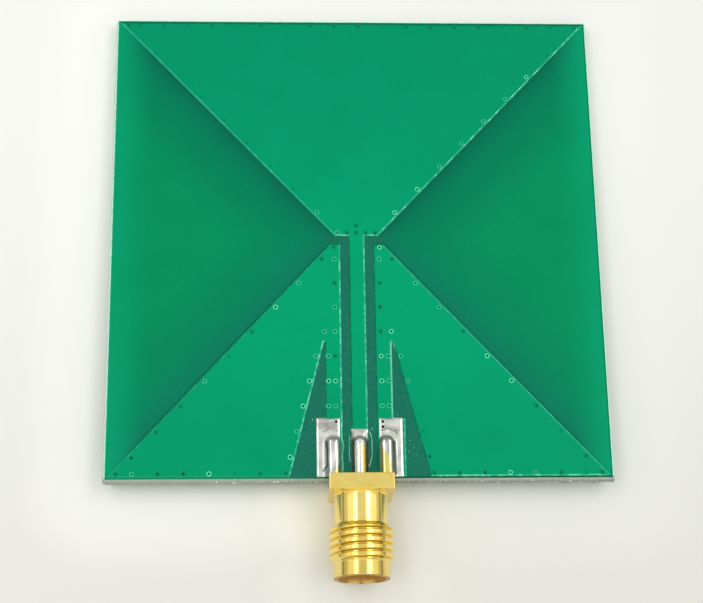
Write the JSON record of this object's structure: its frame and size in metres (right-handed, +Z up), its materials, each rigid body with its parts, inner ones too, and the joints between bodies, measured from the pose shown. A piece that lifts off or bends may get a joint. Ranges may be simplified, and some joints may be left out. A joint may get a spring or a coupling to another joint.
{
  "type": "printed dipole antenna",
  "caption": "Square printed board with a bow-tie dipole of via-stitched copper, fed by a gold-plated threaded coaxial jack soldered to one edge.",
  "frame": {"origin": "on the jack's axis, at the plane of its mouth", "axes": "+Y from the jack's mouth to the far edge of the board, +X to the right of the feed line, +Z up out of the front of the board"},
  "size_m": [0.05, 0.0597, 0.0064],
  "materials": {
    "laminate": "bare glass-epoxy laminate with scored, broken edges",
    "copper": "copper foil and plated barrels under the solder mask",
    "solder_mask": "green liquid-film solder mask, half gloss",
    "gold_plate": "bright gold plating on turned brass",
    "white_insulator": "white waxy fluoropolymer",
    "solder": "bright tin solder with wavy flow marks"
  },
  "bodies": {
    "root": {"substrate": "laminate", "front_upper_arm": "copper", "front_left_ground": "copper", "front_right_ground": "copper", "back_upper_arm": "copper", "back_lower_arm": "copper", "front_solder_mask": "solder_mask", "back_solder_mask": "solder_mask", "upper_arm_vias": "copper", "left_ground_vias": "copper", "right_ground_vias": "copper", "jack_body": "gold_plate", "insulator": "white_insulator", "centre_contact": "gold_plate", "centre_solder": "solder", "front_left_solder": "solder", "front_right_solder": "solder", "back_left_solder": "solder", "back_right_solder": "solder"}
  },
  "joints": []
}
